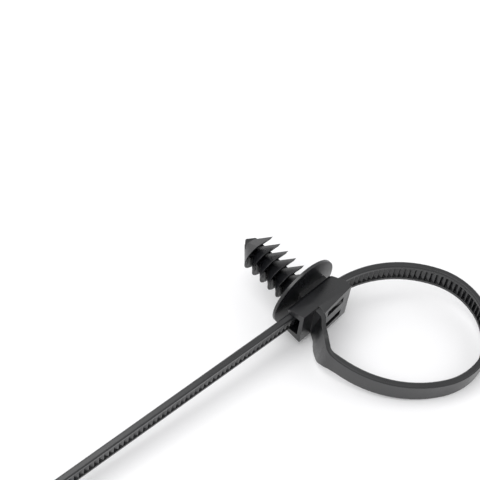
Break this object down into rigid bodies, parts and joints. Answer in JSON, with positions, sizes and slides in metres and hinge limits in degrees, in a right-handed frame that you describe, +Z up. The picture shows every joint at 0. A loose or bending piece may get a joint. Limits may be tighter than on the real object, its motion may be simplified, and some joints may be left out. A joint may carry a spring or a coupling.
{
  "type": "fir tree cable tie",
  "caption": "One-piece nylon cable tie with a ribbed push-in tree and disc on its head; the strap is closed into a loop and its tail runs out straight.",
  "frame": {"origin": "centre of the bounding box, at its bottom, where the tie rests on the table", "axes": "+Z up from the table; +X along the strap's slot, from the tail's end towards the loop; +Y the way the push-in tree points, level with the table"},
  "size_m": [0.113, 0.0468, 0.0145],
  "materials": {
    "black_nylon": "satin black moulded nylon"
  },
  "bodies": {
    "root": {"cable_tie": "black_nylon"}
  },
  "joints": []
}
